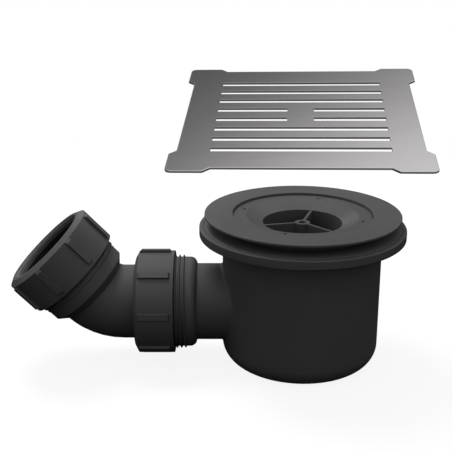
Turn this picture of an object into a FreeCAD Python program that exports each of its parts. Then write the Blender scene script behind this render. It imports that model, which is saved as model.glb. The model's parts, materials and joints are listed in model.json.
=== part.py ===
import FreeCAD
import Part
import math
import os

# Shower waste with a 40 mm swivel outlet, in millimetres and degrees.
# Z runs up the axis of the cup, the underside of the cup lies at Z = 0 and the outlet points to -X.

# Trap body: a cup with a rim that takes the underside of the shower tray
cup_diameter = 85.0
cup_wall = 2.8
cup_floor = 3.0
base_round = 11.0
body_height = 76.5
rim_width = 12.5
rim_thickness = 5.0
rim_edge_round = 0.6
lip_width = 2.4
recess_depth = 2.2

# Gaskets above and below the tray, and the room that is left for the tray itself
tray_gasket_stand = 0.1
tray_gasket_play = 0.25
tray_gasket_inset = 1.5
tray_gap = 4.4
flange_gasket_thickness = 0.8
flange_gasket_width = 5.7
flange_gasket_play = 0.1

# Clamp flange: a wide disc on a neck that screws into the cup
disc_inset = 2.8
disc_thickness = 1.6
disc_edge_thickness = 1.2
disc_edge_width = 2.0
disc_edge_round = 0.3
neck_clearance = 0.5
neck_wall = 3.4
neck_length = 19.0
ledge_width = 1.4

# Siphon insert: a dished ring with a dip tube, dropped into the clamp flange
insert_step = 1.4
insert_thickness = 2.0
insert_clearance = 0.3
insert_flat = 6.9
cone_drop = 3.7
throat_diameter = 42.2
tube_wall = 2.0
tube_foot_gap = 6.5
skirt_wall = 3.6
skirt_depth = 8.0
groove_depth = 1.6
groove_width = 2.4
o_ring_play = 0.1
spoke_count = 3
spoke_angle = 72.5
spoke_thickness = 1.5
spoke_depth = 12.0
spoke_sink = 0.2
hub_diameter = 8.0
hub_length = 24.0
hub_hole_diameter = 4.1
hub_hole_depth = 9.0
dimple_count = 4
dimple_angle = -20.0
dimple_diameter = 1.8
dimple_depth = 0.8
dimple_inset = 4.4

# Outlet spigot, and the compression coupling that its end and the end of the elbow share
pipe_diameter = 40.0
pipe_wall = 2.0
spigot_height = 32.5
spigot_wall = 2.8
spigot_reach = 13.9
weir_drop = 2.0
collar_wall = 4.1
collar_length = 25.6
collar_round_margin = 0.01
socket_clearance = 0.3
socket_depth = 21.0
seat_depth = 5.0
seat_lip = 1.0
thread_height = 1.05
thread_clearance = 0.15
seal_gap = 0.3
seal_stand = 3.1
seal_grip_clearance = 0.1
seal_nose = 0.5
washer_thickness = 2.0
washer_play = 0.4
nut_wall = 2.2
nut_end_wall = 2.0
nut_length = 20.9
nut_hole_clearance = 1.2
nut_bevel_width = 3.4
nut_bevel_length = 1.8
nut_hole_bevel = 1.4
rib_count = 8
rib_width = 3.2
rib_height = 1.4
rib_inset = 1.8
coupling_nut_turn = 5.75
outlet_nut_turn = -1.3

# Elbow that is pushed into the spigot and turned a little towards the front
elbow_angle = 47.0
elbow_lean = 3.6
elbow_reach = 24.6
bend_radius = 24.0
pipe_end_gap = 1.5
outlet_reach = 37.7
outlet_collar_length = 24.1

# Grate: a flat steel plate with an ear at each corner, held up above the waste as a lifted cover
grate_width = 125.0
grate_thickness = 1.2
grate_edge_break = 0.2
ear_length = 17.5
ear_inset = 3.5
ear_round = 3.2
slot_count = 8
slot_pitch = 11.5
slot_width = 4.2
slot_margin = 19.5
slot_bridge = 13.6
bridged_rows = (3, 4)
grate_lift = 51.7
grate_shift = -2.5
grate_tip = 12.8
grate_roll = -1.0
grate_turn = -4.5

# How closely an edge has to lie at the place that it is looked for
edge_tolerance = 1e-4

# Sizes that follow from the ones above
cup_radius = cup_diameter / 2
bore_radius = cup_radius - cup_wall
rim_radius = cup_radius + rim_width
lip_radius = rim_radius - lip_width
recess_floor = body_height - recess_depth
tray_gasket_top = body_height + tray_gasket_stand

flange_gasket_bottom = tray_gasket_top + tray_gap
disc_bottom = flange_gasket_bottom + flange_gasket_thickness
disc_top = disc_bottom + disc_thickness
disc_radius = rim_radius - disc_inset
neck_radius = bore_radius - neck_clearance
neck_bore_radius = neck_radius - neck_wall
seat_radius = neck_bore_radius + ledge_width

insert_top = disc_top - insert_step
insert_under = insert_top - insert_thickness
insert_radius = seat_radius - insert_clearance
cone_radius = insert_radius - insert_flat
throat_radius = throat_diameter / 2
throat_top = insert_top - cone_drop
tube_radius = throat_radius + tube_wall
tube_bottom = cup_floor + tube_foot_gap
skirt_radius = neck_bore_radius - insert_clearance
skirt_bottom = insert_under - skirt_depth
groove_radius = skirt_radius - groove_depth
groove_middle = (insert_under + skirt_bottom) / 2

pipe_radius = pipe_diameter / 2
way_radius = pipe_radius - pipe_wall
spigot_radius = way_radius + spigot_wall
socket_radius = pipe_radius + socket_clearance
collar_radius = socket_radius + collar_wall
mouth_radius = collar_radius - seat_lip
nut_bore_radius = collar_radius + thread_height + thread_clearance
nut_radius = nut_bore_radius + nut_wall
washer_bottom = seal_stand + seal_gap
washer_top = washer_bottom + washer_thickness
nut_top = washer_top + nut_end_wall
shoulder = cup_radius + spigot_reach
mouth = shoulder + collar_length
corner = mouth + elbow_reach


def vector(x, y, z):
    return FreeCAD.Vector(x, y, z)


def turned(points):
    # A closed profile of (radius, height) points, turned once round the Z axis
    corners = [vector(radius, 0, height) for radius, height in points]
    face = Part.Face(Part.makePolygon(corners + corners[:1]))
    return face.revolve(vector(0, 0, 0), vector(0, 0, 1), 360)


def ring(inner, outer, bottom, top):
    return turned([(inner, bottom), (outer, bottom), (outer, top), (inner, top)])


def post(radius, bottom, top):
    return Part.makeCylinder(radius, top - bottom, vector(0, 0, bottom))


def rims(shape, radius, height):
    # The round edges of one radius that lie at one height
    def fits(edge):
        if not isinstance(edge.Curve, Part.Circle):
            return False
        same_radius = abs(edge.Curve.Radius - radius) < edge_tolerance
        return same_radius and abs(edge.Curve.Center.z - height) < edge_tolerance
    return [edge for edge in shape.Edges if fits(edge)]


def eased(shape, size, *places):
    # Round off the edges found at each (radius, height)
    edges = [edge for place in places for edge in rims(shape, *place)]
    return shape.makeFillet(size, edges)


def moved(shape, placement):
    copy = shape.copy()
    copy.Placement = placement.multiply(copy.Placement)
    return copy


def frame(origin, across, up, along):
    # A place with local X across, local Y up and local Z along
    return FreeCAD.Placement(origin, FreeCAD.Rotation(across, up, along, "ZXY"))


def spun(shape, angle):
    return moved(shape, FreeCAD.Placement(vector(0, 0, 0), vector(0, 0, 1), angle))


def round_array(shape, count, start):
    return [spun(shape, start + index * 360 / count) for index in range(count)]


# Places of the two couplings: each has its Z axis pointing out of the mouth of its collar
bend = math.radians(elbow_angle)
coupling_place = frame(vector(-mouth, 0, spigot_height), vector(0, -1, 0), vector(0, 0, 1), vector(-1, 0, 0))
outlet_along = vector(-math.cos(bend), 0, math.sin(bend))
outlet_up = vector(math.sin(bend), 0, math.cos(bend))
elbow_corner = vector(-corner, 0, spigot_height)
outlet_level = frame(elbow_corner + outlet_along * outlet_reach, vector(0, -1, 0), outlet_up, outlet_along)
lean = FreeCAD.Placement(vector(0, 0, 0), FreeCAD.Rotation(vector(1, 0, 0), elbow_lean), elbow_corner)
outlet_place = lean.multiply(outlet_level)


def collar_bore(bottom):
    # The space inside a collar, from the waterway to the tapered seat at its mouth (Z = 0)
    return turned([
        (0, bottom), (way_radius, bottom), (way_radius, -socket_depth), (socket_radius, -socket_depth),
        (socket_radius, -seat_depth), (mouth_radius, 0), (0, 0),
    ])


def make_trap_body():
    cup = turned([
        (0, 0), (cup_radius, 0), (cup_radius, body_height - rim_thickness),
        (rim_radius, body_height - rim_thickness), (rim_radius, body_height), (lip_radius, body_height),
        (lip_radius, recess_floor), (bore_radius, recess_floor), (bore_radius, cup_floor), (0, cup_floor),
    ])
    cup = eased(cup, base_round, (cup_radius, 0))
    cup = eased(cup, base_round - cup_wall, (bore_radius, cup_floor))
    cup = eased(cup, rim_edge_round, (rim_radius, body_height), (rim_radius, body_height - rim_thickness))

    # The spigot widens into its collar with a quarter round
    start = -mouth
    rise = collar_radius - spigot_radius
    foot = shoulder - mouth
    spigot = post(spigot_radius, start, foot + rise)
    collar = eased(post(collar_radius, foot, 0), rise - collar_round_margin, (collar_radius, foot))
    outlet = spigot.fuse(collar).cut(collar_bore(start))
    outlet = moved(outlet, coupling_place)
    outlet = outlet.cut(post(cup_radius - cup_wall / 2, 0, body_height))

    # The way out of the cup starts above a weir, so that water stays behind
    way = moved(post(way_radius, -mouth, shoulder - mouth), coupling_place)
    weir_top = spigot_height - weir_drop
    above_weir = Part.makeBox(mouth, cup_diameter, body_height, vector(-mouth, -cup_radius, weir_top))
    return cup.fuse(outlet).cut(way.common(above_weir)).removeSplitter()


def make_tray_gasket():
    return ring(bore_radius + tray_gasket_inset, lip_radius - tray_gasket_play, recess_floor, tray_gasket_top)


def make_flange_gasket():
    inner = neck_radius + flange_gasket_play
    return ring(inner, inner + flange_gasket_width, flange_gasket_bottom, disc_bottom)


def make_clamp_flange():
    flange = turned([
        (neck_bore_radius, disc_top - neck_length), (neck_radius, disc_top - neck_length),
        (neck_radius, disc_bottom), (disc_radius - disc_edge_width, disc_bottom),
        (disc_radius, disc_top - disc_edge_thickness), (disc_radius, disc_top), (seat_radius, disc_top),
        (seat_radius, insert_under), (neck_bore_radius, insert_under),
    ])
    return eased(flange, disc_edge_round, (disc_radius, disc_top), (seat_radius, disc_top))


def make_siphon_insert():
    half_groove = groove_width / 2
    insert = turned([
        (throat_radius, throat_top), (cone_radius, insert_top), (insert_radius, insert_top),
        (insert_radius, insert_under), (skirt_radius, insert_under),
        (skirt_radius, groove_middle + half_groove), (groove_radius, groove_middle + half_groove),
        (groove_radius, groove_middle - half_groove), (skirt_radius, groove_middle - half_groove),
        (skirt_radius, skirt_bottom), (skirt_radius - skirt_wall, skirt_bottom),
        (skirt_radius - skirt_wall, insert_under), (cone_radius, insert_under),
        (tube_radius, throat_top - insert_thickness), (tube_radius, tube_bottom),
        (throat_radius, tube_bottom),
    ])
    insert = eased(insert, disc_edge_round, (insert_radius, insert_top))

    # Three spokes carry a hub with a blind hole in the middle of the throat
    spoke_top = throat_top - spoke_sink
    reach = throat_radius + tube_wall / 2
    corner_point = vector(0, -spoke_thickness / 2, spoke_top - spoke_depth)
    spoke = Part.makeBox(reach, spoke_thickness, spoke_depth, corner_point)
    hub = post(hub_diameter / 2, spoke_top - hub_length, spoke_top)
    insert = insert.fuse(round_array(spoke, spoke_count, spoke_angle) + [hub])

    hole = post(hub_hole_diameter / 2, spoke_top - hub_hole_depth, spoke_top)
    dimple = post(dimple_diameter / 2, insert_top - dimple_depth, insert_top)
    dimple.translate(vector(insert_radius - dimple_inset, 0, 0))
    return insert.cut(round_array(dimple, dimple_count, dimple_angle) + [hole]).removeSplitter()


def make_insert_o_ring():
    room = neck_bore_radius - groove_radius
    section = room / 2 - o_ring_play
    return Part.makeTorus(groove_radius + room / 2, section, vector(0, 0, groove_middle))


def make_nut():
    bottom = nut_top - nut_length
    hole_radius = pipe_radius + nut_hole_clearance
    body = turned([
        (nut_bore_radius, bottom), (nut_radius, bottom), (nut_radius, nut_top - nut_bevel_length),
        (nut_radius - nut_bevel_width, nut_top), (hole_radius + nut_hole_bevel, nut_top),
        (hole_radius, nut_top - nut_hole_bevel), (hole_radius, washer_top), (nut_bore_radius, washer_top),
    ])

    # Each grip rib is a bar with sloping ends, rooted in the wall of the nut
    low = bottom + rib_inset
    high = nut_top - rib_inset
    root = nut_radius - nut_wall / 2
    crest = nut_radius + rib_height
    side = [
        vector(root, 0, low), vector(nut_radius, 0, low), vector(crest, 0, low + rib_height / 2),
        vector(crest, 0, high - rib_height), vector(nut_radius, 0, high), vector(root, 0, high),
    ]
    rib = Part.Face(Part.makePolygon(side + side[:1])).extrude(vector(0, rib_width, 0))
    rib.translate(vector(0, -rib_width / 2, 0))
    return body.fuse(round_array(rib, rib_count, 0)).removeSplitter()


def make_washer():
    return ring(socket_radius, nut_bore_radius - washer_play, washer_bottom, washer_top)


def make_seal():
    # A taper ring whose cone follows the seat of the collar, one gap inside it
    grip = pipe_radius + seal_grip_clearance
    slope = (mouth_radius - socket_radius) / seat_depth
    gap = seal_gap * math.hypot(1, slope)
    nose_radius = grip + seal_nose
    nose = (nose_radius + gap - mouth_radius) / slope
    shoulder_radius = mouth_radius - gap
    return turned([
        (grip, nose), (nose_radius, nose), (shoulder_radius, 0), (shoulder_radius, seal_stand),
        (grip, seal_stand),
    ])


def make_elbow():
    tangent = bend_radius * math.tan(bend / 2)
    bend_start = corner - tangent
    entry = mouth - socket_depth + pipe_end_gap
    along = vector(-1, 0, 0)
    bend_centre = vector(-bend_start, 0, spigot_height + bend_radius)
    turn_end = elbow_corner + outlet_along * tangent

    def bent_rod(radius, start, end):
        # A rod along the bent axis, from a distance along the entry to one along the exit
        first = Part.makeCylinder(radius, bend_start - start, vector(-start, 0, spigot_height), along)
        disc = Part.Face(Part.Wire(Part.makeCircle(radius, vector(-bend_start, 0, spigot_height), along)))
        middle = disc.revolve(bend_centre, vector(0, 1, 0), elbow_angle)
        last = Part.makeCylinder(radius, end - tangent, turn_end, outlet_along)
        return first.fuse([middle, last])

    # A cone at 45 degrees, rooted in the wall of the pipe, leads to the outlet collar
    root = pipe_radius - pipe_wall / 2
    rise = collar_radius - root
    collar_start = outlet_reach - outlet_collar_length
    cone_foot = elbow_corner + outlet_along * (collar_start - rise)
    cone = Part.makeCone(root, collar_radius, rise, cone_foot, outlet_along)
    collar_foot = elbow_corner + outlet_along * collar_start
    collar = Part.makeCylinder(collar_radius, outlet_collar_length, collar_foot, outlet_along)

    outside = bent_rod(pipe_radius, entry, collar_start).fuse([cone, collar])
    socket = moved(collar_bore(-socket_depth), outlet_level)
    hollow = bent_rod(way_radius, entry, outlet_reach - socket_depth).fuse(socket)
    return moved(outside.cut(hollow).removeSplitter(), lean)


def make_grate():
    half = grate_width / 2
    inner = half - ear_inset
    ear = half - ear_length
    slope_end = ear - ear_inset

    # One corner of the outline, turned round to the other three
    quarter = [(slope_end, -inner), (ear, -half), (half, -half), (half, -ear), (inner, -slope_end)]
    corners = []
    for index in range(4):
        turn = FreeCAD.Rotation(vector(0, 0, 1), 90 * index)
        corners += [turn.multVec(vector(x, y, 0)) for x, y in quarter]
    outline = Part.Face(Part.makePolygon(corners + corners[:1]))
    plate = outline.extrude(vector(0, 0, grate_thickness))

    def at_corner(edge):
        box = edge.BoundBox
        upright = abs(box.ZLength - grate_thickness) < edge_tolerance
        off_corner = max(abs(abs(box.Center.x) - half), abs(abs(box.Center.y) - half))
        return upright and off_corner < edge_tolerance

    def on_top(edge):
        return edge.BoundBox.ZMin > grate_thickness - edge_tolerance

    plate = plate.makeFillet(ear_round, [edge for edge in plate.Edges if at_corner(edge)])
    plate = plate.makeChamfer(grate_edge_break, [edge for edge in plate.Edges if on_top(edge)])

    # Rows of slots, with a solid bridge across the middle ones
    slot_length = grate_width - 2 * slot_margin
    bridge = Part.makeBox(slot_bridge, grate_width, grate_thickness, vector(-slot_bridge / 2, -half, 0))
    slots = []
    for row in range(slot_count):
        middle = (row - (slot_count - 1) / 2) * slot_pitch
        slot_corner = vector(-slot_length / 2, middle - slot_width / 2, 0)
        slot = Part.makeBox(slot_length, slot_width, grate_thickness, slot_corner)
        slots.append(slot.cut(bridge) if row in bridged_rows else slot)
    plate = plate.cut(slots)

    tipped = FreeCAD.Rotation(vector(1, 0, 0), grate_tip)
    rolled = FreeCAD.Rotation(vector(0, 1, 0), grate_roll)
    turned_round = FreeCAD.Rotation(vector(0, 0, 1), grate_turn)
    centre = vector(grate_shift, 0, disc_top + grate_lift)
    return moved(plate, FreeCAD.Placement(centre, turned_round.multiply(rolled).multiply(tipped)))


nut = make_nut()
washer = make_washer()
seal = make_seal()
pieces = {
    "trap_body": make_trap_body(),
    "tray_gasket": make_tray_gasket(),
    "flange_gasket": make_flange_gasket(),
    "clamp_flange": make_clamp_flange(),
    "siphon_insert": make_siphon_insert(),
    "insert_o_ring": make_insert_o_ring(),
    "coupling_nut": moved(spun(nut, coupling_nut_turn), coupling_place),
    "coupling_washer": moved(washer, coupling_place),
    "coupling_seal": moved(seal, coupling_place),
    "outlet_elbow": make_elbow(),
    "outlet_nut": moved(spun(nut, outlet_nut_turn), outlet_place),
    "outlet_washer": moved(washer, outlet_place),
    "outlet_seal": moved(seal, outlet_place),
    "grate": make_grate(),
}

os.makedirs("parts", exist_ok=True)
for name, shape in pieces.items():
    shape.exportStep("parts/" + name + ".step")
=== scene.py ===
import bmesh
import bpy
import json
import math
from mathutils import Matrix, Quaternion, Vector


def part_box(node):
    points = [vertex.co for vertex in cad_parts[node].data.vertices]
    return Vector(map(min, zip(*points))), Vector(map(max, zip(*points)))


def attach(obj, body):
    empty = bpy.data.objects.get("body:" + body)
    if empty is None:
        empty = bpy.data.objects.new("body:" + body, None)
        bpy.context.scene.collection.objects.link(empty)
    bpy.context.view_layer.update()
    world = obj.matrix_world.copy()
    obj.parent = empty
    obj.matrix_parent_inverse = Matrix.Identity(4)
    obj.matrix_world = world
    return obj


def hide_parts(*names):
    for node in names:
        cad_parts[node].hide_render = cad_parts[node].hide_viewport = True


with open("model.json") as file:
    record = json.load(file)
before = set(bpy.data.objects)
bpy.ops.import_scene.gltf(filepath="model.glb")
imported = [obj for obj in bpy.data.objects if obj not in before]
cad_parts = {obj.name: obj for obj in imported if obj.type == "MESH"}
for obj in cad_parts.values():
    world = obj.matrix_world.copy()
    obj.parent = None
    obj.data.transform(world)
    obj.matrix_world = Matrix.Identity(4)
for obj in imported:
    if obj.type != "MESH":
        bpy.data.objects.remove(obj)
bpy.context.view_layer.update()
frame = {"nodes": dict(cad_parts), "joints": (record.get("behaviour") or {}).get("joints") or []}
scene = bpy.context.scene
mm = 0.001


# Node trees, for finishes and for geometry alike

class Wire:
    # one output of a node; sums and products of wires become Math nodes
    def __init__(self, graph, node, output=0):
        self.graph = graph
        self.node = node
        self.socket = node.outputs[output]

    def at(self, output):
        return Wire(self.graph, self.node, output)

    def calc(self, operation, first, second=0):
        return self.graph.add("ShaderNodeMath", {"operation": operation}, {0: first, 1: second})

    def __add__(self, other):
        return self.calc("ADD", self, other)

    def __radd__(self, other):
        return self.calc("ADD", other, self)

    def __sub__(self, other):
        return self.calc("SUBTRACT", self, other)

    def __rsub__(self, other):
        return self.calc("SUBTRACT", other, self)

    def __mul__(self, other):
        return self.calc("MULTIPLY", self, other)

    def __rmul__(self, other):
        return self.calc("MULTIPLY", other, self)


class Graph:
    def __init__(self, tree):
        self.tree = tree

    def add(self, kind, settings=None, inputs=None):
        # a node with its settings first, then the values or wires of its sockets
        node = self.tree.nodes.new(kind)
        for name, value in (settings or {}).items():
            setattr(node, name, value)
        for key, value in (inputs or {}).items():
            if isinstance(value, Wire):
                self.tree.links.new(value.socket, node.inputs[key])
            else:
                node.inputs[key].default_value = value
        return Wire(self, node) if node.outputs else node


def newFinish(name):
    material = bpy.data.materials.new(name)
    material.use_nodes = True
    material.node_tree.nodes.clear()
    return material, Graph(material.node_tree)


noiseMiddle = 0.5


def spots(graph, where, size, detail=2.0, roughness=0.5):
    # soft noise with patches of about this size, which swings between 0 and 1 round noiseMiddle
    return graph.add("ShaderNodeTexNoise", {"noise_dimensions": "3D"},
                     {"Vector": where, "Scale": 1 / size, "Detail": detail, "Roughness": roughness})


def blended(graph, factor, first, second):
    # two colours mixed by a wire
    mix = graph.add("ShaderNodeMix", {"data_type": "RGBA"}, {0: factor, 6: (*first, 1), 7: (*second, 1)})
    return mix.at(2)


# Moulded black plastic: a spark-eroded grain, and slow changes of tone where the melt cooled
plasticLook = {
    "darkTone": (0.050, 0.050, 0.051),
    "paleTone": (0.062, 0.062, 0.063),
    "cloudSize": 18 * mm,
    "cloudShare": 0.6,
    "grainSize": 0.35 * mm,
    "grainDetail": 3.0,
    "grainDepth": 0.012 * mm,
    "grainStrength": 0.6,
    "roughness": 0.50,
    "roughnessSpread": 0.12,
    "shine": 0.25,
}


def insideFunnel(graph, where, look):
    # 1 within a radius round the axis of the cup, 0 further out
    level = graph.add("ShaderNodeVectorMath", {"operation": "MULTIPLY"}, {0: where, 1: (1, 1, 0)})
    away = graph.add("ShaderNodeVectorMath", {"operation": "LENGTH"}, {0: level}).at("Value")
    outer = look["funnelRadius"]
    inner = outer - look["funnelEdge"]
    return graph.add("ShaderNodeMapRange", {}, {"Value": away, "From Min": outer, "From Max": inner})


def makePlastic(name, look):
    material, graph = newFinish(name)
    where = graph.add("ShaderNodeTexCoord").at("Object")
    cloud = spots(graph, where, look["cloudSize"])
    grain = spots(graph, where, look["grainSize"], look["grainDetail"])
    bump = graph.add("ShaderNodeBump", {}, {
        "Strength": look["grainStrength"], "Distance": look["grainDepth"], "Height": grain,
    })
    swing = look["cloudShare"] * cloud + (1 - look["cloudShare"]) * grain - noiseMiddle
    roughness = look["roughness"] + swing * look["roughnessSpread"]
    if "polish" in look:
        roughness = roughness - insideFunnel(graph, where, look) * look["polish"]
    shader = graph.add("ShaderNodeBsdfPrincipled", {}, {
        "Base Color": blended(graph, cloud, look["darkTone"], look["paleTone"]),
        "Roughness": roughness, "Specular IOR Level": look["shine"], "Normal": bump,
    })
    graph.add("ShaderNodeOutputMaterial", {}, {"Surface": shader})
    return material


# Siphon insert: a little darker, with a polished funnel round its throat
insertLook = dict(
    plasticLook, darkTone=(0.045, 0.045, 0.046), paleTone=(0.057, 0.057, 0.058), shine=0.34,
    polish=0.12, funnelRadius=30.0 * mm, funnelEdge=0.2 * mm,
)

# Sheet rubber of the flat gaskets: dull, with fine pale patches, and paler all over than the seal rubber, a
# painted light that offsets the shade they lie in under the clamp flange
gasketLook = dict(
    plasticLook, darkTone=(0.068, 0.068, 0.069), paleTone=(0.086, 0.086, 0.086), cloudSize=6 * mm,
    grainSize=0.2 * mm, grainDepth=0.010 * mm, roughness=0.72, roughnessSpread=0.14, shine=0.20,
)

# Moulded rubber of the ring and the taper seals: deep black
sealLook = dict(
    plasticLook, darkTone=(0.006, 0.006, 0.006), paleTone=(0.010, 0.010, 0.010), cloudSize=4 * mm,
    grainSize=0.2 * mm, grainDepth=0.006 * mm, roughness=0.75, roughnessSpread=0.10, shine=0.06,
)

# Slip washers: the same plastic, smoother and a little darker
washerLook = dict(
    plasticLook, darkTone=(0.040, 0.040, 0.042), paleTone=(0.055, 0.055, 0.057), cloudSize=8 * mm,
    grainSize=0.25 * mm, grainDepth=0.008 * mm, roughness=0.42, roughnessSpread=0.10, shine=0.20,
)

# Brushed stainless steel: streaks that run along the slots of the plate
steelLook = {
    "darkTone": (0.44, 0.43, 0.43),
    "paleTone": (0.60, 0.585, 0.58),
    "streakLength": 9 * mm,
    "streakWidth": 0.24 * mm,
    "streakDepth": 0.003 * mm,
    "streakStrength": 0.2,
    "streakDetail": 4.0,
    "streakRoughness": 0.65,
    "streakShare": 0.75,
    "cloudSize": 30 * mm,
    "roughness": 0.19,
    "roughnessSpread": 0.08,
    "tip": 12.8,
    "roll": -1.0,
    "turn": -4.5,
}


def makeSteel(name, look, centre):
    material, graph = newFinish(name)
    where = graph.add("ShaderNodeTexCoord").at("Object")
    flat = graph.add("ShaderNodeMapping", {"vector_type": "TEXTURE"}, {
        "Vector": where, "Location": centre,
        "Rotation": tuple(math.radians(look[angle]) for angle in ("tip", "roll", "turn")),
    })
    drawn = graph.add("ShaderNodeMapping", {"vector_type": "POINT"}, {
        "Vector": flat,
        "Scale": (1 / look["streakLength"], 1 / look["streakWidth"], 1 / look["streakWidth"]),
    })
    streak = spots(graph, drawn, 1.0, look["streakDetail"], look["streakRoughness"])
    cloud = spots(graph, flat, look["cloudSize"])
    tone = look["streakShare"] * streak + (1 - look["streakShare"]) * cloud
    bump = graph.add("ShaderNodeBump", {}, {
        "Strength": look["streakStrength"], "Distance": look["streakDepth"], "Height": streak,
    })
    shader = graph.add("ShaderNodeBsdfPrincipled", {}, {
        "Base Color": blended(graph, tone, look["darkTone"], look["paleTone"]),
        "Roughness": look["roughness"] + (streak - noiseMiddle) * look["roughnessSpread"],
        "Metallic": 1.0, "Normal": bump,
    })
    graph.add("ShaderNodeOutputMaterial", {}, {"Surface": shader})
    return material


grateLow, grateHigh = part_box("grate")
plastic = makePlastic("mouldedPlastic", plasticLook)
insertPlastic = makePlastic("insertPlastic", insertLook)
gasketRubber = makePlastic("gasketRubber", gasketLook)
sealRubber = makePlastic("sealRubber", sealLook)
washerPlastic = makePlastic("washerPlastic", washerLook)
steel = makeSteel("brushedSteel", steelLook, (grateLow + grateHigh) / 2)
print("finishes: two moulded plastics, gasket rubber, seal rubber, washer plastic, brushed steel")


# Pieces taken over from the construction, with their edges broken as a mould or a press leaves them

edgeWork = {"weld": 0.002 * mm, "flatAngle": 0.2, "sharpAngle": 24.0}


def dressed(look):
    node = look["node"]
    work = bmesh.new()
    work.from_mesh(frame["nodes"][node].data)
    bmesh.ops.remove_doubles(work, verts=work.verts, dist=edgeWork["weld"])
    bmesh.ops.dissolve_limit(work, angle_limit=math.radians(edgeWork["flatAngle"]),
                             verts=work.verts, edges=work.edges)
    broken = math.radians(edgeWork["sharpAngle"])
    crisp = math.radians(look.get("crispAngle", edgeWork["sharpAngle"]))  # blunter edges show as a line
    for face in work.faces:
        face.smooth = True
    for edge in work.edges:
        edge.smooth = not crisp < edge.calc_face_angle(0) < broken
    mesh = bpy.data.meshes.new(node + "_dressed")
    work.to_mesh(mesh)
    work.free()
    if "custom_normal" in mesh.attributes:
        mesh.attributes.remove(mesh.attributes["custom_normal"])  # they belong to the loose triangles
    mesh.materials.clear()
    mesh.materials.append(look["finish"])
    piece = bpy.data.objects.new(node + "_dressed", mesh)
    scene.collection.objects.link(piece)
    bevel = piece.modifiers.new("brokenEdges", "BEVEL")
    bevel.width = look["edgeRound"]
    bevel.segments = look["edgeSteps"]
    bevel.limit_method = "ANGLE"
    bevel.angle_limit = broken
    bevel.harden_normals = "crispAngle" not in look
    if "crispAngle" in look:
        shading = piece.modifiers.new("shadingByArea", "WEIGHTED_NORMAL")
        shading.keep_sharp = True
    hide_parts(node)
    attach(piece, look["body"])
    return piece


trapBody = {
    "node": "trap_body", "body": "trap", "slot": "black_plastic", "finish": plastic,
    "edgeRound": 0.45 * mm, "edgeSteps": 3,
}
dressed(trapBody)

clampFlange = {
    "node": "clamp_flange", "body": "flange", "slot": "black_plastic", "finish": plastic,
    "edgeRound": 0.25 * mm, "edgeSteps": 3,
}
dressed(clampFlange)

siphonInsert = {
    "node": "siphon_insert", "body": "flange", "slot": "black_plastic", "finish": insertPlastic,
    "edgeRound": 0.25 * mm, "edgeSteps": 3, "crispAngle": 20.0,
}
dressed(siphonInsert)

outletElbow = {
    "node": "outlet_elbow", "body": "elbow", "slot": "black_plastic", "finish": plastic,
    "edgeRound": 0.30 * mm, "edgeSteps": 3,
}
dressed(outletElbow)
print("housing: trap body, clamp flange, siphon insert, elbow")

couplingNut = {
    "node": "coupling_nut", "body": "coupling_grip", "slot": "black_plastic", "finish": plastic,
    "edgeRound": 0.42 * mm, "edgeSteps": 3,
}
dressed(couplingNut)

outletNut = dict(couplingNut, node="outlet_nut", body="outlet_grip")
dressed(outletNut)

couplingWasher = {
    "node": "coupling_washer", "body": "coupling_ring", "slot": "washer_plastic", "finish": washerPlastic,
    "edgeRound": 0.20 * mm, "edgeSteps": 2,
}
dressed(couplingWasher)

outletWasher = dict(couplingWasher, node="outlet_washer", body="outlet_ring")
dressed(outletWasher)

couplingSeal = {
    "node": "coupling_seal", "body": "elbow", "slot": "seal_rubber", "finish": sealRubber,
    "edgeRound": 0.15 * mm, "edgeSteps": 2,
}
dressed(couplingSeal)

outletSeal = dict(couplingSeal, node="outlet_seal")
dressed(outletSeal)
print("couplings: two nuts, two washers, two seals")

trayGasket = {
    "node": "tray_gasket", "body": "trap", "slot": "seal_rubber", "finish": gasketRubber,
    "edgeRound": 0.20 * mm, "edgeSteps": 2,
}
dressed(trayGasket)

flangeGasket = dict(trayGasket, node="flange_gasket", body="flange_ring")
dressed(flangeGasket)

insertRing = dict(couplingSeal, node="insert_o_ring", body="flange", edgeRound=0.05 * mm)
dressed(insertRing)
print("seals of the flange: two gaskets, one ring")

liftedGrate = {
    "node": "grate", "body": "trap", "slot": "grate_steel", "finish": steel,
    "edgeRound": 0.12 * mm, "edgeSteps": 2,
}
grate = dressed(liftedGrate)
grate.visible_shadow = False
grate.visible_diffuse = False
print("grate: one plate, which throws no shade on the waste")


# Screw threads: a ridge swept along a helix, which fades in and out

threadSweep = {"stepsPerTurn": 72, "cornerSteps": 3, "thinEnd": 0.04, "uprightFrom": 0.9}


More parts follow.
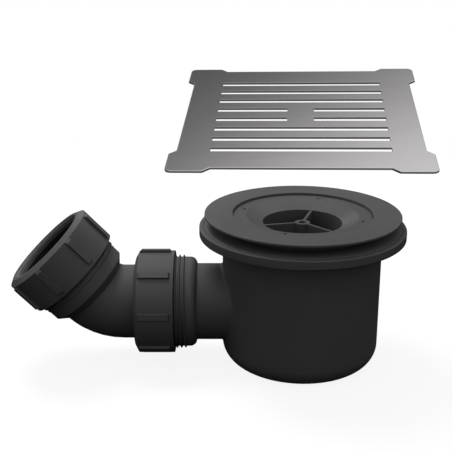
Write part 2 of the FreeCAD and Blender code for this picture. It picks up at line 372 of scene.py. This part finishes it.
def makeThreadTree():
    tree = bpy.data.node_groups.new("screwThread", "GeometryNodeTree")
    for name in ("Radius", "Pitch", "Turns", "Sink", "Depth", "Root", "Crest", "Softness", "Fade"):
        tree.interface.new_socket(name, in_out="INPUT", socket_type="NodeSocketFloat")
    tree.interface.new_socket("Finish", in_out="INPUT", socket_type="NodeSocketMaterial")
    tree.interface.new_socket("Geometry", in_out="OUTPUT", socket_type="NodeSocketGeometry")
    graph = Graph(tree)
    given = graph.add("NodeGroupInput")
    radius = given.at("Radius")
    turns = given.at("Turns")
    helix = graph.add("GeometryNodeCurveSpiral", {}, {
        "Resolution": threadSweep["stepsPerTurn"], "Rotations": turns, "Start Radius": radius,
        "End Radius": radius, "Height": given.at("Pitch") * turns, "Reverse": True,
    })
    helix = graph.add("GeometryNodeSetCurveNormal", {"mode": "Z_UP"}, {"Curve": helix})

    # Across the ridge: X leads away from the axis, Y along it
    def corner(away, width, side):
        return graph.add("ShaderNodeCombineXYZ", {}, {"X": away, "Y": width * (0.5 * side)})

    foot = 0 - given.at("Sink")
    top = given.at("Depth")
    root = given.at("Root")
    crest = given.at("Crest")
    section = graph.add("GeometryNodeCurvePrimitiveQuadrilateral", {"mode": "POINTS"}, {
        "Point 1": corner(foot, root, -1), "Point 2": corner(top, crest, -1),
        "Point 3": corner(top, crest, 1), "Point 4": corner(foot, root, 1),
    })
    section = graph.add("GeometryNodeFilletCurve", {"mode": "POLY"}, {
        "Curve": section, "Count": threadSweep["cornerSteps"], "Radius": given.at("Softness"),
        "Limit Radius": True,
    })

    def fade(distance):
        return graph.add("ShaderNodeMapRange", {"interpolation_type": "SMOOTHSTEP"}, {
            "Value": distance, "From Max": given.at("Fade"), "To Min": threadSweep["thinEnd"],
        })

    along = graph.add("GeometryNodeSplineParameter").at("Factor")
    ridge = graph.add("GeometryNodeCurveToMesh", {}, {
        "Curve": helix, "Profile Curve": section, "Scale": fade(along) * fade(1 - along), "Fill Caps": True,
    })
    ridge = graph.add("GeometryNodeSetShadeSmooth", {}, {"Geometry": ridge})
    ridge = graph.add("GeometryNodeRealizeInstances", {}, {"Geometry": ridge})
    ridge = graph.add("GeometryNodeSetMaterial", {}, {"Geometry": ridge, "Material": given.at("Finish")})
    graph.add("NodeGroupOutput", {}, {"Geometry": ridge})
    return tree


def baked(name, tree, values):
    # the tree's result as a plain mesh
    piece = bpy.data.objects.new(name, bpy.data.meshes.new(name))
    scene.collection.objects.link(piece)
    sweep = piece.modifiers.new("sweep", "NODES")
    sweep.node_group = tree
    for item in tree.interface.items_tree:
        if item.in_out == "INPUT":
            sweep[item.identifier] = values[item.name]
    piece.data = bpy.data.meshes.new_from_object(piece.evaluated_get(bpy.context.evaluated_depsgraph_get()))
    piece.modifiers.remove(sweep)
    return piece


threadTree = makeThreadTree()


def threaded(look):
    # places are measured along the axis of a joint, and a crest crosses the upper side at crestAbove;
    # an upright axis has no upper side, so there it is the side towards +X
    joint = next(joint for joint in frame["joints"] if joint["name"] == look["joint"])
    axis = Vector(joint["axis"]).normalized()
    length = look["end"] - look["start"]
    values = {
        "Radius": look["radius"], "Pitch": look["pitch"], "Turns": length / look["pitch"],
        "Sink": look["sink"], "Depth": look["depth"], "Root": look["root"], "Crest": look["crest"],
        "Softness": look["softness"], "Fade": look["fade"] / length, "Finish": plastic,
    }
    piece = baked(look["name"], threadTree, values)
    upward = Vector((1, 0, 0)) if abs(axis.z) > threadSweep["uprightFrom"] else Vector((0, 0, 1))
    upward = (upward - axis * upward.dot(axis)).normalized()
    turn = 2 * math.pi * (look["start"] - look["crestAbove"]) / look["pitch"]
    first = Quaternion(axis, turn) @ upward
    place = Matrix((first, axis.cross(first), axis)).transposed().to_4x4()
    place.translation = Vector(joint["pos_m"]) + axis * look["start"]
    piece.data.transform(place)
    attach(piece, look["body"])


spigotThread = {
    "name": "spigotThread", "joint": "coupling_turn", "body": "trap",
    "radius": 24.4 * mm, "pitch": 2.3 * mm, "start": -20.4 * mm, "end": -0.6 * mm, "crestAbove": -18.5 * mm,
    "sink": 0.15 * mm, "depth": 1.05 * mm, "root": 1.35 * mm, "crest": 0.45 * mm, "softness": 0.18 * mm,
    "fade": 1.2 * mm,
}
threaded(spigotThread)

elbowThread = dict(
    spigotThread, name="elbowThread", joint="outlet_turn", body="elbow",
    start=-20.8 * mm, crestAbove=-15.0 * mm, fade=5.6 * mm,
)
threaded(elbowThread)

# The nuts carry the matching ridge, which stands inwards between two crests of the collar
couplingNutThread = dict(
    spigotThread, name="couplingNutThread", body="coupling_grip", radius=25.6 * mm,
    start=-12.9 * mm, end=2.4 * mm, crestAbove=spigotThread["crestAbove"] + spigotThread["pitch"] / 2,
    sink=-0.15 * mm, depth=-0.9 * mm, root=1.1 * mm, crest=0.40 * mm, softness=0.12 * mm,
)
threaded(couplingNutThread)

outletNutThread = dict(
    couplingNutThread, name="outletNutThread", joint="outlet_turn", body="outlet_grip",
    crestAbove=elbowThread["crestAbove"] + elbowThread["pitch"] / 2,
)
threaded(outletNutThread)

# The neck of the clamp flange has a coarser, low thread
neckThread = dict(
    spigotThread, name="neckThread", joint="flange_turn", body="flange", radius=39.2 * mm, pitch=3.0 * mm,
    start=-15.2 * mm, end=-1.2 * mm, crestAbove=0.0, depth=0.35 * mm, root=1.4 * mm, crest=0.7 * mm,
    softness=0.10 * mm, fade=2.0 * mm,
)
threaded(neckThread)
print("threads: five, on collars, nuts and neck")


# Fillet where the spigot leaves the cup: a skin that follows the line in which the two cylinders meet

filletSkin = {"pointsAround": 121, "pointsAcross": 8, "weld": 0.001 * mm}


def makeFilletTree():
    tree = bpy.data.node_groups.new("spigotFillet", "GeometryNodeTree")
    for name in ("Cup Radius", "Spigot Radius", "Height", "Reach"):
        tree.interface.new_socket(name, in_out="INPUT", socket_type="NodeSocketFloat")
    tree.interface.new_socket("Finish", in_out="INPUT", socket_type="NodeSocketMaterial")
    tree.interface.new_socket("Geometry", in_out="OUTPUT", socket_type="NodeSocketGeometry")
    graph = Graph(tree)
    given = graph.add("NodeGroupInput")
    cup = given.at("Cup Radius")
    # a grid from -0.5 to 0.5: X becomes the turn round the spigot, Y the step from the spigot to the cup
    skin = graph.add("GeometryNodeMeshGrid", {}, {
        "Size X": 1.0, "Size Y": 1.0,
        "Vertices X": filletSkin["pointsAround"], "Vertices Y": filletSkin["pointsAcross"],
    })
    place = graph.add("ShaderNodeSeparateXYZ", {}, {0: graph.add("GeometryNodeInputPosition")})
    turn = (0.5 - place.at("X")) * (2 * math.pi)
    step = place.at("Y") + 0.5
    rest = 1 - step

    def onCup(radius):
        y = radius * turn.calc("COSINE", turn)
        z = radius * turn.calc("SINE", turn)
        return 0 - turn.calc("SQRT", cup * cup - y * y), y, given.at("Height") + z

    corner = onCup(given.at("Spigot Radius"))
    end = onCup(given.at("Spigot Radius") + given.at("Reach"))
    start = (corner[0] - given.at("Reach"), corner[1], corner[2])
    curve = [
        rest * rest * first + 2 * step * rest * middle + step * step * last
        for first, middle, last in zip(start, corner, end)
    ]
    bent = graph.add("ShaderNodeCombineXYZ", {}, dict(zip("XYZ", curve)))
    skin = graph.add("GeometryNodeSetPosition", {}, {"Geometry": skin, "Position": bent})
    skin = graph.add("GeometryNodeMergeByDistance", {}, {"Geometry": skin, "Distance": filletSkin["weld"]})
    skin = graph.add("GeometryNodeSetShadeSmooth", {}, {"Geometry": skin})
    skin = graph.add("GeometryNodeRealizeInstances", {}, {"Geometry": skin})
    skin = graph.add("GeometryNodeSetMaterial", {}, {"Geometry": skin, "Material": given.at("Finish")})
    graph.add("NodeGroupOutput", {}, {"Geometry": skin})
    return tree


spigotFillet = {
    "Cup Radius": 42.5 * mm, "Spigot Radius": 20.8 * mm, "Height": 32.5 * mm, "Reach": 1.9 * mm,
    "Finish": plastic,
}
fillet = baked("spigotFillet", makeFilletTree(), spigotFillet)
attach(fillet, "trap")
print("fillet: one, between cup and spigot")


# Stage: white floor and surroundings, one wide soft light from above

white = (1, 1, 1, 1)
stageLook = {
    "floorRadius": 0.60,
    "floorFade": 0.30,
    "floorShade": 0.02,
    "floorGlow": 0.88,
    "ambient": 0.68,
    "horizon": (-0.02, 0.30),
    "lampPlace": (-0.20, 0.20, 0.55),
    "lampAim": (-0.02, 0.0, 0.06),
    "lampWidth": 0.30,
    "lampPower": 3.45,
}


def seenDirectly(graph):
    # 1 for rays that look at the surroundings: from the camera, in a reflection or through glass
    path = graph.add("ShaderNodeLightPath")
    direct = path.calc("MAXIMUM", path.at("Is Camera Ray"), path.at("Is Glossy Ray"))
    return path.calc("MAXIMUM", direct, path.at("Is Transmission Ray"))


def makeFloor(look):
    material, graph = newFinish("paleFloor")
    shade = (look["floorShade"],) * 3
    matte = graph.add("ShaderNodeBsdfDiffuse", {}, {"Color": (*shade, 1)})
    paper = graph.add("ShaderNodeBsdfDiffuse", {}, {"Color": white})
    glow = graph.add("ShaderNodeEmission", {}, {"Color": white, "Strength": 1.0})
    pale = graph.add("ShaderNodeMixShader", {}, {0: look["floorGlow"], 1: paper, 2: glow})
    both = graph.add("ShaderNodeMixShader", {}, {0: seenDirectly(graph), 1: matte, 2: pale})
    reach = graph.add("ShaderNodeVectorMath", {"operation": "LENGTH"},
                      {0: graph.add("ShaderNodeTexCoord").at("Object")}).at("Value")
    edge = graph.add("ShaderNodeMapRange", {"interpolation_type": "SMOOTHSTEP"},
                     {"Value": reach, "From Min": look["floorFade"], "From Max": look["floorRadius"]})
    unseen = edge.calc("MAXIMUM", edge, graph.add("ShaderNodeNewGeometry").at("Backfacing"))
    clear = graph.add("ShaderNodeBsdfTransparent")
    faded = graph.add("ShaderNodeMixShader", {}, {0: unseen, 1: both, 2: clear})
    graph.add("ShaderNodeOutputMaterial", {}, {"Surface": faded})
    half = look["floorRadius"]
    mesh = bpy.data.meshes.new("floor")
    corners = [(-half, -half, 0), (half, -half, 0), (half, half, 0), (-half, half, 0)]
    mesh.from_pydata(corners, [], [(0, 1, 2, 3)])
    mesh.materials.append(material)
    floor = bpy.data.objects.new("floor", mesh)
    scene.collection.objects.link(floor)


def makeWorld(look):
    world = bpy.data.worlds.new("surroundings")
    world.use_nodes = True
    world.node_tree.nodes.clear()
    graph = Graph(world.node_tree)
    direct = seenDirectly(graph)
    towards = graph.add("ShaderNodeTexCoord").at("Generated")
    upward = graph.add("ShaderNodeSeparateXYZ", {}, {0: towards}).at("Z")
    low, high = look["horizon"]
    sky = graph.add("ShaderNodeMapRange", {"interpolation_type": "SMOOTHSTEP"},
                    {"Value": upward, "From Min": low, "From Max": high, "To Max": look["ambient"]})
    level = direct + (1 - direct) * sky
    back = graph.add("ShaderNodeBackground", {}, {"Color": white, "Strength": level})
    graph.add("ShaderNodeOutputWorld", {}, {"Surface": back})
    scene.world = world


def makeLamp(look):
    light = bpy.data.lights.new("skyPanel", "AREA")
    light.shape = "DISK"
    light.size = look["lampWidth"]
    light.energy = look["lampPower"]
    lamp = bpy.data.objects.new("skyPanel", light)
    lamp.location = look["lampPlace"]
    aim = Vector(look["lampAim"]) - Vector(look["lampPlace"])
    lamp.rotation_euler = aim.to_track_quat("-Z", "Y").to_euler()
    lamp.visible_camera = False
    lamp.visible_glossy = False
    scene.collection.objects.link(lamp)


# A tent round the part, seen only in reflections: its back wall brightens upwards and to the right and has a
# low panel on the left, its sides are even, and its foot is dark
tentLook = {
    "radius": 2.0,
    "segments": 64,
    "rings": 32,
    "foot": 0.3 * mm,
    "level": -10.35,
    "riseAcross": 5.0,
    "riseUp": 14.0,
    "brightest": 1.12,
    "backFrom": (0.50, 1.20),
    "backGlow": 0.09,
    "backGlowTop": (1.05, 0.75),
    "panelGlow": 1.2,
    "panelAcross": (-0.10, -0.30),
    "panelFoot": (0.30, 0.45),
    "panelTop": (1.10, 0.85),
    "sideGlow": 0.40,
    "skirt": (0.0, 0.25),
    "frontFill": 0.16,
    "frontFrom": (-50 * mm, -150 * mm),
}


def makeTent(look):
    material, graph = newFinish("gradedTent")
    where = graph.add("ShaderNodeTexCoord").at("Object")
    split = graph.add("ShaderNodeSeparateXYZ", {}, {0: where})

    def ramp(axis, limits):
        return graph.add("ShaderNodeMapRange", {"interpolation_type": "SMOOTHSTEP"},
                         {"Value": split.at(axis), "From Min": limits[0], "From Max": limits[1]})

    across = split.at("X") * (look["riseAcross"] / look["radius"])
    slope = look["level"] + across + split.at("Z") * (look["riseUp"] / look["radius"])
    graded = slope.calc("MINIMUM", slope.calc("POWER", math.e, slope), look["brightest"])
    back = ramp("Y", look["backFrom"])
    skirt = ramp("Z", look["skirt"])
    panel = ramp("X", look["panelAcross"]) * ramp("Z", look["panelFoot"]) * ramp("Z", look["panelTop"])
    backWall = graded + ramp("Z", look["backGlowTop"]) * skirt * look["backGlow"] + panel * look["panelGlow"]
    sideWall = slope.calc("MAXIMUM", graded, skirt * look["sideGlow"])
    strength = back * backWall + (1 - back) * sideWall + ramp("Y", look["frontFrom"]) * look["frontFill"]
    glow = graph.add("ShaderNodeEmission", {}, {"Color": white, "Strength": strength})
    graph.add("ShaderNodeOutputMaterial", {}, {"Surface": glow})
    work = bmesh.new()
    bmesh.ops.create_uvsphere(work, u_segments=look["segments"], v_segments=look["rings"],
                              radius=look["radius"])
    for vert in work.verts:
        vert.co.z = max(vert.co.z, look["foot"])
    mesh = bpy.data.meshes.new("gradedTent")
    work.to_mesh(mesh)
    work.free()
    mesh.materials.append(material)
    tent = bpy.data.objects.new("gradedTent", mesh)
    scene.collection.objects.link(tent)
    tent.visible_camera = False
    tent.visible_diffuse = False
    tent.visible_shadow = False
    tent.visible_transmission = False


makeFloor(stageLook)
makeWorld(stageLook)
makeLamp(stageLook)
makeTent(tentLook)
print("stage: floor, surroundings, lamp, graded tent")

cameraLook = {
    "place": (-40.71 * mm, -455.35 * mm, 228.17 * mm),
    "pitch": 18.496,
    "focalPixels": 900.0,
    "imagePixels": 452.0,
    "sensorWidth": 36.0,
}


def makeCamera(look):
    lens = bpy.data.cameras.new("camera")
    lens.sensor_width = look["sensorWidth"]
    lens.lens = look["focalPixels"] / look["imagePixels"] * look["sensorWidth"]
    camera = bpy.data.objects.new("camera", lens)
    camera.location = look["place"]
    camera.rotation_euler = (math.radians(90 - look["pitch"]), 0, 0)
    scene.collection.objects.link(camera)
    scene.camera = camera


makeCamera(cameraLook)
scene.view_settings.view_transform = "Standard"
print("camera set")
